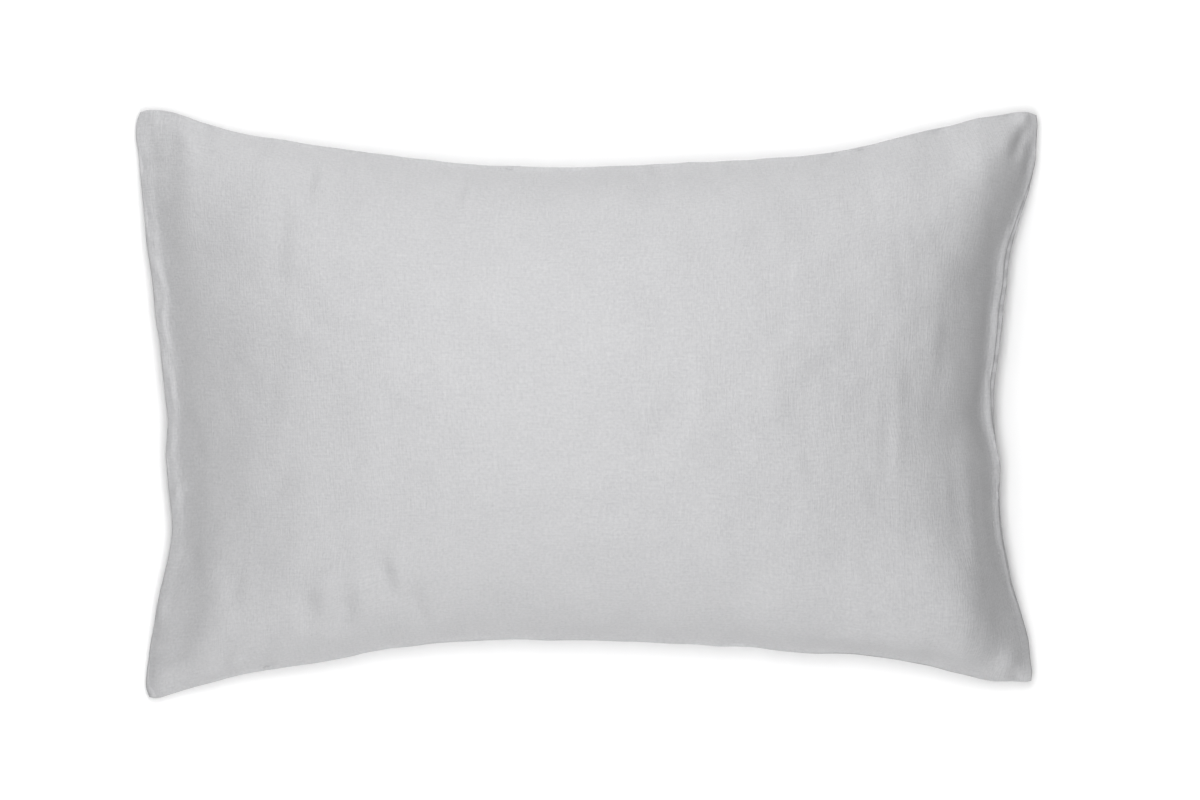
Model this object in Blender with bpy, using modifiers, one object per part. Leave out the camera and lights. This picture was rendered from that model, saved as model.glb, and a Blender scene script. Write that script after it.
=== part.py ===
"""A filled pillowcase lying on its back, as one closed solid.

The case is sewn from a front and a back panel of plain linen, cut 750 x 500 mm. One short end and both
long sides are closed seams, and the other short end is the hemmed mouth. Filled, the panels rise into a
crown, the sides draw in between the corners, and the seam line lifts off the surface.

Axes: +X along the case, from the closed end to the mouth, +Y across it, +Z up. It rests on Z = 0.
The cage is a box cut into a grid, whose columns, rows and rim layers are then carried onto the sewn shape.
The back panel bulges below the surface, and a slab takes off what the case's weight presses flat.
"""

import math
from collections import namedtuple

import bmesh
import bpy
from mathutils import Matrix, Vector

MM = 0.001

# Driving dimensions, in millimetres
TOP_LEFT = Vector((-367.0, 240.5))
TOP_RIGHT = Vector((366.5, 237.0))
BOTTOM_LEFT = Vector((-359.5, -241.0))
BOTTOM_RIGHT = Vector((361.5, -225.5))
FRONT_RISE = 85.0
BACK_DROP = 132.0
SEAM_HALF = 1.6
HEM_HALF = 3.7
MOUTH_GAP = 2.8
MOUTH_DEPTH = 9.0
HEM_FADE = 30.0
CLOSED_END_LIP = 10.0
MOUTH_LIP = 7.0
LONG_SIDE_LIP = 3.0
EDGE_ROUNDING = 0.6
FOLD_FADE = 16.0
SLAB_LENGTH = 900.0
SLAB_WIDTH = 700.0
SLAB_DEPTH = 100.0

# How full the crown is: a height of (1 - part ** POWER) ** FULLNESS from the middle out to each edge.
# The filling reaches further towards the mouth, where the front keeps its height and then falls off sharply.
FRONT_POWER = 2.2
FRONT_MOUTH_POWER = 5.0
FRONT_FULLNESS = 0.5
BACK_POWER = 2.2
BACK_FULLNESS = 0.56

# Where the cage's lines run, in millimetres in from each edge, with even cells between the last ones
CLOSED_END_LINES = (0.0, 5.0, 10.0, 18.0, 32.0, 52.0, 80.0, 115.0)
MOUTH_LINES = (0.0, 3.5, 7.0, 14.0, 26.0, 44.0, 68.0, 98.0, 132.0)
LONG_SIDE_LINES = (0.0, 3.0, 9.0, 20.0, 38.0, 64.0, 98.0)
MIDDLE_COLUMNS = 10
MIDDLE_ROWS = 6
RIM_LAYERS = 4
MEAN_LENGTH = 700.0
MEAN_WIDTH = 430.0

# Each side as it lies: how far along from its first corner, how far it is drawn in from the straight line
# between its corners, how high its seam runs above the surface, and how far the front layer stays back
# from the back layer, which shows at the mouth only
Place = namedtuple("Place", "along inward height setback")

TOP_SIDE = (
    Place(0, 0.0, 20, 0),
    Place(20, 0.8, 25, 0),
    Place(36, 4.5, 30, 0),
    Place(56, 12.0, 34, 0),
    Place(97, 22.0, 43, 0),
    Place(178, 35.0, 57, 0),
    Place(259, 45.5, 67, 0),
    Place(359, 48.5, 72, 0),
    Place(459, 44.0, 69, 0),
    Place(539, 38.5, 61, 0),
    Place(580, 31.5, 56, 0),
    Place(620, 21.5, 50, 0),
    Place(661, 12.0, 43, 0),
    Place(694, 3.0, 36, 0),
    Place(714, 0.3, 32, 0),
    Place(733.5, 0.0, 28, 0),
)
BOTTOM_SIDE = (
    Place(0, 0.0, 18, 0),
    Place(12, 1.6, 22, 0),
    Place(22, 5.0, 25, 0),
    Place(47, 12.5, 32, 0),
    Place(89, 22.0, 42, 0),
    Place(130, 28.0, 50, 0),
    Place(171, 35.0, 57, 0),
    Place(212, 42.0, 63, 0),
    Place(252, 45.5, 67, 0),
    Place(312, 46.3, 71, 0),
    Place(372, 43.5, 72, 0),
    Place(472, 37.5, 67, 0),
    Place(532, 30.5, 61, 0),
    Place(572, 28.6, 56, 0),
    Place(613, 22.0, 50, 0),
    Place(653, 12.0, 43, 0),
    Place(686, 2.4, 37, 0),
    Place(706, 1.6, 33, 0),
    Place(721, 0.0, 30, 0),
)
CLOSED_END = (
    Place(0, 0.0, 18, 0),
    Place(25, 0.8, 26, 0),
    Place(50, 6.0, 33, 0),
    Place(83, 13.5, 41, 0),
    Place(115, 22.5, 48, 0),
    Place(143, 28.0, 53, 0),
    Place(168, 25.5, 56, 0),
    Place(196, 24.0, 58, 0),
    Place(228, 25.0, 60, 0),
    Place(276, 21.0, 59, 0),
    Place(341, 13.5, 52, 0),
    Place(406, 5.4, 40, 0),
    Place(439, 1.7, 32, 0),
    Place(458, -0.4, 27, 0),
    Place(481.5, 0.0, 20, 0),
)
MOUTH = (
    Place(0, 0.0, 30, 0.0),
    Place(15, 1.5, 34, 0.5),
    Place(51, 9.0, 41, 1.0),
    Place(84, 19.7, 47, 1.5),
    Place(116, 27.8, 52, 1.5),
    Place(156, 31.6, 56, 0.8),
    Place(177, 31.6, 58, 0.0),
    Place(196, 35.0, 59, 0.5),
    Place(228, 37.4, 60, 2.6),
    Place(256, 34.5, 59, 3.3),
    Place(309, 29.2, 56, 3.3),
    Place(357, 22.2, 50, 3.3),
    Place(390, 11.2, 44, 3.0),
    Place(418, 3.4, 38, 2.6),
    Place(437, 2.2, 34, 1.6),
    Place(462.5, 0.0, 28, 0.0),
)

# The soft folds of the front panel: where each one's middle is, which way it runs, how long and wide it is,
# and how high it stands, or how deep it lies where that is negative
Fold = namedtuple("Fold", "x y heading length width rise")

FRONT_FOLDS = (
    Fold(-246, 148, 90, 170, 20, -4.5),
    Fold(-222, 158, 86, 130, 20, 3.0),
    Fold(-106, 158, 65, 110, 24, -4.5),
    Fold(58, 172, 80, 70, 24, -3.0),
    Fold(-150, -138, 115, 120, 22, -6.0),
    Fold(-118, -146, 112, 90, 22, 3.5),
    Fold(-194, -160, 92, 80, 20, -5.0),
    Fold(-298, -188, 35, 110, 18, -6.0),
    Fold(-322, -202, 40, 80, 14, 4.0),
    Fold(-330, 200, 130, 90, 16, -6.0),
    Fold(-300, 196, 125, 80, 16, 4.5),
    Fold(344, 192, 64, 100, 14, -7.0),
    Fold(322, 184, 66, 90, 14, 5.0),
    Fold(266, 58, 86, 110, 20, 4.0),
    Fold(236, 44, 82, 100, 22, -4.0),
    Fold(246, -56, 92, 170, 18, 4.0),
    Fold(282, -72, 88, 190, 18, -4.0),
    Fold(292, -162, 140, 80, 24, 8.0),
    Fold(272, -196, 22, 90, 18, -7.0),
    Fold(226, -96, 25, 130, 30, -4.5),
)


def smoothly(rows, column, along):
    """The named column of a side's table at a distance along it, on a curve through every row."""
    places = [row.along for row in rows]
    values = [getattr(row, column) for row in rows]
    along = min(max(along, places[0]), places[-1])
    after = next(i for i in range(1, len(rows)) if along <= places[i])
    before = after - 1

    def slope(i):
        low = max(i - 1, 0)
        high = min(i + 1, len(rows) - 1)
        return (values[high] - values[low]) / (places[high] - places[low])

    step = places[after] - places[before]
    t = (along - places[before]) / step
    start = (2 * t**3 - 3 * t**2 + 1) * values[before] + (t**3 - 2 * t**2 + t) * step * slope(before)
    end = (3 * t**2 - 2 * t**3) * values[after] + (t**3 - t**2) * step * slope(after)
    return start + end


def side_point(rows, first, last, inward, part):
    """The seam's X, Y and height at a part of the way, 0 to 1, along one side."""
    chord = last - first
    along = part * rows[-1].along
    place = first + chord * part + inward * smoothly(rows, "inward", along)
    return Vector((place.x, place.y, smoothly(rows, "height", along)))


def seam_sheet(u, v):
    """The sheet between the four seams, at u from the closed end to the mouth and v from bottom to top."""
    bottom = side_point(BOTTOM_SIDE, BOTTOM_LEFT, BOTTOM_RIGHT, Vector((0.0, 1.0)), u)
    top = side_point(TOP_SIDE, TOP_LEFT, TOP_RIGHT, Vector((0.0, -1.0)), u)
    closed = side_point(CLOSED_END, BOTTOM_LEFT, TOP_LEFT, Vector((1.0, 0.0)), v)
    mouth = side_point(MOUTH, BOTTOM_RIGHT, TOP_RIGHT, Vector((-1.0, 0.0)), v)
    corners = {
        (0, 0): BOTTOM_LEFT.to_3d() + Vector((0, 0, BOTTOM_SIDE[0].height)),
        (1, 0): BOTTOM_RIGHT.to_3d() + Vector((0, 0, BOTTOM_SIDE[-1].height)),
        (0, 1): TOP_LEFT.to_3d() + Vector((0, 0, TOP_SIDE[0].height)),
        (1, 1): TOP_RIGHT.to_3d() + Vector((0, 0, TOP_SIDE[-1].height)),
    }
    ruled = bottom * (1 - v) + top * v + closed * (1 - u) + mouth * u
    for (i, j), corner in corners.items():
        ruled -= corner * (u if i else 1 - u) * (v if j else 1 - v)
    return ruled


def fullness(part, first_lip, last_lip, whole, power, shape):
    """The crown's height across one direction, 0 on the lips and 1 in the middle."""
    inner = part * whole - first_lip
    width = whole - first_lip - last_lip
    off_middle = min(abs(2 * inner / width - 1), 1.0)
    return (1 - off_middle**power) ** shape


def crown(u, v, power, mouth_power, shape):
    """The crown's height over the sheet, with a power of its own in the half towards the mouth."""
    centre = (1 + (CLOSED_END_LIP - MOUTH_LIP) / MEAN_LENGTH) / 2
    along_power = mouth_power if u > centre else power
    along = fullness(u, CLOSED_END_LIP, MOUTH_LIP, MEAN_LENGTH, along_power, shape)
    across = fullness(v, LONG_SIDE_LIP, LONG_SIDE_LIP, MEAN_WIDTH, power, shape)
    return along * across


def fold_rise(x, y):
    """What the soft folds add to the front panel's height at a place."""
    total = 0.0
    for fold in FRONT_FOLDS:
        heading = math.radians(fold.heading)
        along = (x - fold.x) * math.cos(heading) + (y - fold.y) * math.sin(heading)
        across = (y - fold.y) * math.cos(heading) - (x - fold.x) * math.sin(heading)
        reach = min(abs(along) / (fold.length / 2), 1.0)
        total += fold.rise * math.cos(reach * math.pi / 2) ** 2 * math.exp(-((across / fold.width) ** 2))
    return total


def mouth_share(u, v):
    """How much of the hem's thickness a place has: 1 at the mouth, 0 at its corners and away from it."""
    from_mouth = (1 - u) * MEAN_LENGTH
    from_corner = min(v, 1 - v) * MEAN_WIDTH
    return max(0.0, 1 - from_mouth / (2 * HEM_FADE)) * min(1.0, from_corner / HEM_FADE)


def panel_point(u, v, layer):
    """A place on the front panel where layer is 1, or on the back panel where it is -1."""
    place = seam_sheet(u, v)
    half = SEAM_HALF + (HEM_HALF - SEAM_HALF) * mouth_share(u, v)
    if layer < 0:
        drop = BACK_DROP * crown(u, v, BACK_POWER, BACK_POWER, BACK_FULLNESS)
        return Vector((place.x, place.y, place.z - half - drop))
    from_edge = min(min(u, 1 - u) * MEAN_LENGTH, min(v, 1 - v) * MEAN_WIDTH)
    settled = min(1.0, from_edge / FOLD_FADE)
    setback = smoothly(MOUTH, "setback", v * MOUTH[-1].along) * mouth_share(u, v)
    rise = FRONT_RISE * crown(u, v, FRONT_POWER, FRONT_MOUTH_POWER, FRONT_FULLNESS)
    folded = settled * fold_rise(place.x, place.y)
    return Vector((place.x - setback, place.y, place.z + half + rise + folded))


def rim_point(u, v, layer):
    """A place on the rim between the panels: a rounded seam, or the two hems with the mouth between."""
    edge = seam_sheet(u, v)
    share = mouth_share(u, v)
    outward = Vector(((u == 1) - (u == 0), (v == 1) - (v == 0), 0.0))
    if layer == 0:
        return edge + outward * (EDGE_ROUNDING - MOUTH_DEPTH * share)
    setback = smoothly(MOUTH, "setback", v * MOUTH[-1].along) * share if layer > 0 else 0.0
    lift = SEAM_HALF / 2 * (1 - share) + MOUTH_GAP / 2 * share
    return edge + outward * EDGE_ROUNDING / 2 + Vector((-setback, 0.0, math.copysign(lift, layer)))


def lines(first, last, middle, whole):
    """Every line of the cage across one direction, from 0 to 1, close together near the edges."""
    start = first[-1]
    end = whole - last[-1]
    between = [start + (end - start) * i / middle for i in range(1, middle)]
    return [at / whole for at in [*first, *between, *(whole - at for at in reversed(last))]]


def cut_along(mesh, axis, cuts):
    """Cuts every edge of the box that runs along one axis, and the faces between them into strips."""
    chosen = [e for e in mesh.edges if abs((e.verts[0].co - e.verts[1].co)[axis]) > 0.01]
    bmesh.ops.subdivide_edges(mesh, edges=chosen, cuts=cuts, use_grid_fill=True)


def make_cage(columns, rows):
    """A box cut into a grid of columns and rows on both panels, with layers round the rim."""
    mesh = bmesh.new()
    bmesh.ops.create_cube(mesh, size=2.0)
    cut_along(mesh, 0, len(columns) - 2)
    cut_along(mesh, 1, len(rows) - 2)
    cut_along(mesh, 2, RIM_LAYERS - 1)
    return mesh


def carry_onto_case(mesh, columns, rows):
    """Moves each corner of the cage from the box to its place on the sewn and filled case."""
    for vertex in mesh.verts:
        u = columns[round((vertex.co.x + 1) / 2 * (len(columns) - 1))]
        v = rows[round((vertex.co.y + 1) / 2 * (len(rows) - 1))]
        layer = round(vertex.co.z * RIM_LAYERS / 2) * 2 / RIM_LAYERS
        place = panel_point(u, v, layer) if abs(layer) == 1 else rim_point(u, v, layer)
        vertex.co = place * MM


def make_linen():
    """Light grey linen: matt, with no shine."""
    material = bpy.data.materials.new("linen")
    material.use_nodes = True
    shader = material.node_tree.nodes["Principled BSDF"]
    shader.inputs["Base Color"].default_value = (0.5, 0.5, 0.51, 1.0)
    shader.inputs["Roughness"].default_value = 0.9
    shader.inputs["Metallic"].default_value = 0.0
    return material


def centre_on_origin(case):
    """Puts the middle of the case's outline over the origin."""
    bpy.context.view_layer.update()
    smooth = case.evaluated_get(bpy.context.evaluated_depsgraph_get()).to_mesh()
    low = Vector([min(vertex.co[i] for vertex in smooth.vertices) for i in range(3)])
    high = Vector([max(vertex.co[i] for vertex in smooth.vertices) for i in range(3)])
    middle = (low + high) / 2
    case.data.transform(Matrix.Translation((-middle.x, -middle.y, 0.0)))


def make_resting_slab(collection):
    """What lies under the surface that the case rests on."""
    size = Vector((SLAB_LENGTH, SLAB_WIDTH, SLAB_DEPTH)) * MM
    mesh = bpy.data.meshes.new("resting_slab")
    box = bmesh.new()
    bmesh.ops.create_cube(box, size=1.0, matrix=Matrix.Diagonal((*size, 1.0)))
    box.to_mesh(mesh)
    box.free()
    slab = bpy.data.objects.new("resting_slab", mesh)
    slab.location.z = -size.z / 2
    slab.hide_render = True
    slab.display_type = "WIRE"
    collection.objects.link(slab)
    return slab


def make_case(collection, slab):
    columns = lines(CLOSED_END_LINES, MOUTH_LINES, MIDDLE_COLUMNS, MEAN_LENGTH)
    rows = lines(LONG_SIDE_LINES, LONG_SIDE_LINES, MIDDLE_ROWS, MEAN_WIDTH)
    cage = make_cage(columns, rows)
    carry_onto_case(cage, columns, rows)
    bmesh.ops.recalc_face_normals(cage, faces=cage.faces)
    mesh = bpy.data.meshes.new("filled_case")
    cage.to_mesh(mesh)
    cage.free()
    mesh.materials.append(make_linen())
    mesh.shade_smooth()
    case = bpy.data.objects.new("filled_case", mesh)
    collection.objects.link(case)
    soften = case.modifiers.new("soften", "SUBSURF")
    soften.levels = 1
    soften.render_levels = 1
    centre_on_origin(case)
    rest = case.modifiers.new("rest", "BOOLEAN")
    rest.operation = "DIFFERENCE"
    rest.object = slab
    return case


def new_collection(name):
    collection = bpy.data.collections.new(name)
    bpy.context.scene.collection.children.link(collection)
    return collection


def main():
    for thing in list(bpy.data.objects):
        bpy.data.objects.remove(thing)
    slab = make_resting_slab(new_collection("cutters"))
    make_case(new_collection("pillowcase"), slab)


main()
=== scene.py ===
# %% [markdown]
# # A filled linen pillowcase, seen from straight above
#
# This lesson dresses one packed solid as real cloth. The object is a pillowcase with a pillow inside it: a
# front and a back panel of light grey linen, closed along three sides and hemmed at the fourth.
# The frame comes first, because every piece has to stay in the space that the solid holds.

import math
from collections import namedtuple

import bmesh
import bpy
import numpy as np
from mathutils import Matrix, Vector, noise


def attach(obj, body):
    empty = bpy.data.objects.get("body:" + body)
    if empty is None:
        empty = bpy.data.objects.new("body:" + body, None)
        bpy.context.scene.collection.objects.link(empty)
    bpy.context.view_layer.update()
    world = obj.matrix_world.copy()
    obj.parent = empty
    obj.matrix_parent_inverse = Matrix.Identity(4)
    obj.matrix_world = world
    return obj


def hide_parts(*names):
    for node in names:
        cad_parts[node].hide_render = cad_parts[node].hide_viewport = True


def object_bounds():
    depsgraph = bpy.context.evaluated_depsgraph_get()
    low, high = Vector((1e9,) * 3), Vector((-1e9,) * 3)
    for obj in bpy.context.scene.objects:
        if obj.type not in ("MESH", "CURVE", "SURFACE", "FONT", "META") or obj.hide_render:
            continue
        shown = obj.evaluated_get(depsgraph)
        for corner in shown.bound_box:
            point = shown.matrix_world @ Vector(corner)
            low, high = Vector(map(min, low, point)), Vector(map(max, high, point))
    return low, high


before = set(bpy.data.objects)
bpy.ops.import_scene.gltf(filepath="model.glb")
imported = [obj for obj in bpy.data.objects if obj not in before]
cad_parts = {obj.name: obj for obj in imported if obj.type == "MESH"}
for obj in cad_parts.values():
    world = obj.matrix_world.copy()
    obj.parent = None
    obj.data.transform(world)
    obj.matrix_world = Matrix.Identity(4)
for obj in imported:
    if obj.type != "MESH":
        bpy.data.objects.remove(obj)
cad_low, cad_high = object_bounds()
MM = 0.001
print("solid, in mm:", [round((b - a) / MM, 1) for a, b in zip(cad_low, cad_high)])

# %% [markdown]
# ## The camera
#
# A product photograph from straight above needs a long lens: a short one would show the sides of the pillow
# leaning outwards. Here the camera hangs 3 m over the surface and looks straight down, with the mouth of the
# case to the right. An orthographic camera would be simpler, but it would lose the slight swelling of the
# crown that perspective gives.

# %% Hang the camera
CAMERA_PLACE = (0.0112, 0.0034, 3.0)
LENS = 110.0
SENSOR = 36.0

camera_data = bpy.data.cameras.new("overhead_camera")
camera_data.lens = LENS
camera_data.sensor_width = SENSOR
camera = bpy.data.objects.new("overhead_camera", camera_data)
camera.location = CAMERA_PLACE
bpy.context.scene.collection.objects.link(camera)
bpy.context.scene.camera = camera
print("the picture is", round(SENSOR / LENS * CAMERA_PLACE[2], 3), "m wide at the surface")

# %% [markdown]
# ## The floor and the light
#
# The case lies on a plain white surface in a white room, under one long soft light. A softbox that hangs
# close over the middle does what distant light can't: it fades towards both ends, so even a level strip of
# cloth at an end is darker than the middle. It runs the long way across the case, so the two long sides stay
# bright. A low fill beyond each long side lights the slopes there, and a small second box and a corner fill
# towards the closed end keep that end lighter than the mouth.

# %% Lay the floor
FLOOR_HALF = 6.0

floor_mesh = bpy.data.meshes.new("floor")
floor_form = bmesh.new()
bmesh.ops.create_grid(floor_form, x_segments=1, y_segments=1, size=FLOOR_HALF)
floor_form.to_mesh(floor_mesh)
floor_form.free()
floor = bpy.data.objects.new("floor", floor_mesh)
bpy.context.scene.collection.objects.link(floor)

floor_paint = bpy.data.materials.new("white_surface")
floor_paint.use_nodes = True
floor_shader = floor_paint.node_tree.nodes["Principled BSDF"]
floor_shader.inputs["Base Color"].default_value = (0.96, 0.96, 0.96, 1.0)
floor_shader.inputs["Roughness"].default_value = 0.9
floor_shader.inputs["Specular IOR Level"].default_value = 0.2
floor_mesh.materials.append(floor_paint)
print("a white floor,", 2 * FLOOR_HALF, "m wide")

# %% Hang the softboxes
Softbox = namedtuple("Softbox", "name place aim size watts")

SOFTBOXES = (
    Softbox("overhead_softbox", (0.0, 0.0, 2.2), (0.0, 0.0, 0.0), (0.45, 1.2), 38.4),
    Softbox("left_softbox", (-0.2, 0.0, 1.2), (-0.2, 0.0, 0.0), (0.4, 0.9), 2.6),
    Softbox("far_fill", (0.0, 2.0, 0.5), (0.0, 0.0, 0.08), (1.0, 1.0), 15.8),
    Softbox("near_fill", (0.0, -2.0, 0.5), (0.0, 0.0, 0.08), (1.0, 1.0), 13.8),
    Softbox("far_left_fill", (-1.5, 1.5, 1.2), (0.0, 0.0, 0.08), (1.0, 1.0), 6.0),
)
ROOM_LIGHT = 0.2

for box in SOFTBOXES:
    lamp_data = bpy.data.lights.new(box.name, "AREA")
    lamp_data.shape = "RECTANGLE"
    lamp_data.size, lamp_data.size_y = box.size
    lamp_data.energy = box.watts
    lamp = bpy.data.objects.new(box.name, lamp_data)
    lamp.location = box.place
    lamp.visible_camera = False
    toward = Vector(box.aim) - Vector(box.place)
    lamp.rotation_euler = toward.to_track_quat("-Z", "Y").to_euler()
    bpy.context.scene.collection.objects.link(lamp)

room = bpy.data.worlds.new("white_room")
room.use_nodes = True
room.node_tree.nodes["Background"].inputs["Color"].default_value = (1.0, 1.0, 1.0, 1.0)
room.node_tree.nodes["Background"].inputs["Strength"].default_value = ROOM_LIGHT
bpy.context.scene.world = room
bpy.context.scene.view_settings.view_transform = "Standard"
print(len(SOFTBOXES), "softboxes and a white room")

# %% [markdown]
# ## The sewn outline
#
# Filling draws the sides of a case in between its corners and lifts the seam off the surface. Each side is
# written as a short table: how far along from its first corner a place is, how far it is drawn in from the
# straight line between the corners, how high the seam runs, and how far the front hem stays back from the
# back one. A curve through the rows gives every place between them.

# %% The four sides, in millimetres
TOP_LEFT = np.array([-367.0, 240.5])
TOP_RIGHT = np.array([366.5, 237.0])
BOTTOM_LEFT = np.array([-359.5, -241.0])
BOTTOM_RIGHT = np.array([361.5, -225.5])

Place = namedtuple("Place", "along inward height setback")

TOP_SIDE = (
    Place(0, 0.0, 20, 0), Place(20, 0.8, 25, 0), Place(36, 4.5, 30, 0), Place(56, 12.0, 34, 0),
    Place(97, 22.0, 43, 0), Place(178, 35.0, 57, 0), Place(259, 45.5, 67, 0), Place(359, 48.5, 72, 0),
    Place(459, 44.0, 69, 0), Place(539, 38.5, 61, 0), Place(580, 31.5, 56, 0), Place(620, 21.5, 50, 0),
    Place(661, 12.0, 43, 0), Place(694, 3.0, 36, 0), Place(714, 0.3, 32, 0), Place(733.5, 0.0, 28, 0),
)
BOTTOM_SIDE = (
    Place(0, 0.0, 18, 0), Place(12, 1.6, 22, 0), Place(22, 5.0, 25, 0), Place(47, 12.5, 32, 0),
    Place(89, 22.0, 42, 0), Place(130, 28.0, 50, 0), Place(171, 35.0, 57, 0), Place(212, 42.0, 63, 0),
    Place(252, 45.5, 67, 0), Place(312, 46.3, 71, 0), Place(372, 43.5, 72, 0), Place(472, 37.5, 67, 0),
    Place(532, 30.5, 61, 0), Place(572, 28.6, 56, 0), Place(613, 22.0, 50, 0), Place(653, 12.0, 43, 0),
    Place(686, 2.4, 37, 0), Place(706, 1.6, 33, 0), Place(721, 0.0, 30, 0),
)
CLOSED_END = (
    Place(0, 0.0, 18, 0), Place(25, 0.8, 26, 0), Place(50, 6.0, 33, 0), Place(83, 13.5, 41, 0),
    Place(115, 22.5, 48, 0), Place(143, 28.0, 53, 0), Place(168, 25.5, 56, 0), Place(196, 24.0, 58, 0),
    Place(228, 25.0, 60, 0), Place(276, 21.0, 59, 0), Place(341, 13.5, 52, 0), Place(406, 5.4, 40, 0),
    Place(439, 1.7, 32, 0), Place(458, -0.4, 27, 0), Place(481.5, 0.0, 20, 0),
)
MOUTH = (
    Place(0, 0.0, 30, 0), Place(15, 1.5, 34, 0.5), Place(51, 9.0, 41, 1), Place(84, 19.7, 47, 1.5),
    Place(116, 27.8, 52, 1.5), Place(156, 31.6, 56, 0.8), Place(177, 31.6, 58, 0), Place(196, 35.0, 59, 0.5),
    Place(228, 37.4, 60, 3), Place(256, 34.5, 59, 4.2), Place(309, 29.2, 56, 4.2), Place(357, 22.2, 50, 4),
    Place(390, 11.2, 44, 2.4), Place(418, 3.4, 38, 0.2), Place(437, 2.2, 34, 0), Place(462.5, 0.0, 28, 0),
)


def smoothly(rows, column, part):
    """The named column at each part, 0 to 1, of the way along a side, on a curve through every row."""
    places = np.array([row.along for row in rows], float)
    values = np.array([getattr(row, column) for row in rows], float)
    slopes = np.gradient(values, places)
    slopes[1:-1] = (values[2:] - values[:-2]) / (places[2:] - places[:-2])
    at = np.clip(np.asarray(part, float), 0.0, 1.0) * places[-1]
    after = np.clip(np.searchsorted(places, at), 1, len(places) - 1)
    before = after - 1
    step = places[after] - places[before]
    t = (at - places[before]) / step
    start = (2 * t**3 - 3 * t**2 + 1) * values[before] + (t**3 - 2 * t**2 + t) * step * slopes[before]
    end = (3 * t**2 - 2 * t**3) * values[after] + (t**3 - t**2) * step * slopes[after]
    return start + end


def side_points(rows, first, last, inward, part):
    """The seam in space at each part, 0 to 1, of the way along one side."""
    flat = first + (last - first) * part[..., None] + inward * smoothly(rows, "inward", part)[..., None]
    return np.concatenate([flat, smoothly(rows, "height", part)[..., None]], axis=-1)


def seam_sheet(u, v):
    """The sheet between the four seams: u from the closed end to the mouth, v from the bottom to the top."""
    bottom = side_points(BOTTOM_SIDE, BOTTOM_LEFT, BOTTOM_RIGHT, np.array([0.0, 1.0]), u)
    top = side_points(TOP_SIDE, TOP_LEFT, TOP_RIGHT, np.array([0.0, -1.0]), u)
    closed = side_points(CLOSED_END, BOTTOM_LEFT, TOP_LEFT, np.array([1.0, 0.0]), v)
    mouth = side_points(MOUTH, BOTTOM_RIGHT, TOP_RIGHT, np.array([-1.0, 0.0]), v)
    u, v = u[..., None], v[..., None]
    ruled = bottom * (1 - v) + top * v + closed * (1 - u) + mouth * u
    ruled -= np.append(BOTTOM_LEFT, BOTTOM_SIDE[0].height) * (1 - u) * (1 - v)
    ruled -= np.append(BOTTOM_RIGHT, BOTTOM_SIDE[-1].height) * u * (1 - v)
    ruled -= np.append(TOP_LEFT, TOP_SIDE[0].height) * (1 - u) * v
    ruled -= np.append(TOP_RIGHT, TOP_SIDE[-1].height) * u * v
    return ruled


outline = seam_sheet(np.linspace(0, 1, 200), np.ones(200))
print("the top seam is", round(float(np.linalg.norm(np.diff(outline, axis=0), axis=1).sum())), "mm long")

# %% [markdown]
# ## The two panels
#
# The panels are a grid each, finer towards the edges where the seams and hems need it, and they share their
# points along the three sewn sides. Each grid rises from the seam sheet by a crown: steep at the seam, round
# over the shoulder and nearly level in the middle. A cushion blown up from a flat sheet would find such a
# crown by itself, but its outline would then be whatever comes out, and here the outline is known.

# %% How the crown rises
LENGTH = 700.0
WIDTH = 430.0
FRONT_RISE = 85.0
BACK_DROP = 132.0
FULLEST = 400.0
SWELL = 2.2

# How a panel rises from an edge: a level lip, how softly it leaves the lip, and the share of the whole rise
# that it makes at once, within a short reach. The rest of the rise is spread up to the fullest place.
Shoulder = namedtuple("Shoulder", "lip softness reach share")

CLOSED_END_SHOULDER = Shoulder(8.0, 14.0, 58.0, 0.36)
MOUTH_SHOULDER = Shoulder(7.5, 5.0, 33.0, 0.62)
LONG_SHOULDER = Shoulder(5.0, 7.0, 24.0, 0.3)
BACK_SHOULDER = Shoulder(5.0, 5.0, 14.0, 0.25)

# How wide the front lies level at each end, from the bottom corner to the top corner
Level = namedtuple("Level", "along lip")
CLOSED_END_LEVEL = (
    Level(0, 2), Level(40, 3), Level(80, 5), Level(113, 11), Level(141, 9), Level(168, 15), Level(195, 14),
    Level(240, 18), Level(300, 20), Level(340, 18), Level(406, 12), Level(446, 3), Level(481.5, 0),
)
MOUTH_LEVEL = (
    Level(0, 1), Level(37, 1), Level(69, 2), Level(109, 6), Level(149, 8.5), Level(189, 9), Level(215, 13.5),
    Level(245, 13), Level(310, 13), Level(349, 11.5), Level(389, 5), Level(431, 3), Level(462.5, 2),
)
# Beside the ends the cloth stays full nearly to the corners: the power on the crosswise rise there
BOXY = 0.4


def risen(from_edge, lip, shoulder, whole):
    """The height, 0 at the edge and 1 at the fullest place, at each distance from an edge."""
    def height(inner):
        at_once = shoulder.share * np.tanh(inner / shoulder.reach)
        return at_once + (1 - shoulder.share) * (1 - np.clip(1 - inner / (whole - lip), 0, 1) ** SWELL)

    leaving = (from_edge - lip + np.hypot(from_edge - lip, shoulder.softness)) / 2
    at_edge = (np.hypot(lip, shoulder.softness) - lip) / 2
    return (height(leaving) - height(at_edge)) / (height(whole - lip) - height(at_edge))


def crown(u, v, closed, mouth, long_side, levels=None):
    """The crown over the sheet, from a shoulder for each kind of edge."""
    closed_lip, mouth_lip = closed.lip, mouth.lip
    if levels:
        closed_lip, mouth_lip = (smoothly(rows, "lip", v) for rows in levels)
    from_closed_end = risen(u * LENGTH, closed_lip, closed, FULLEST)
    from_mouth = risen((1 - u) * LENGTH, mouth_lip, mouth, LENGTH - FULLEST)
    along = np.clip(np.where(u * LENGTH < FULLEST, from_closed_end, from_mouth), 0, 1)
    across = np.clip(risen(np.minimum(v, 1 - v) * WIDTH, long_side.lip, long_side, WIDTH / 2), 0, 1)
    return along * across ** (BOXY + (1 - BOXY) * along)


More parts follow.
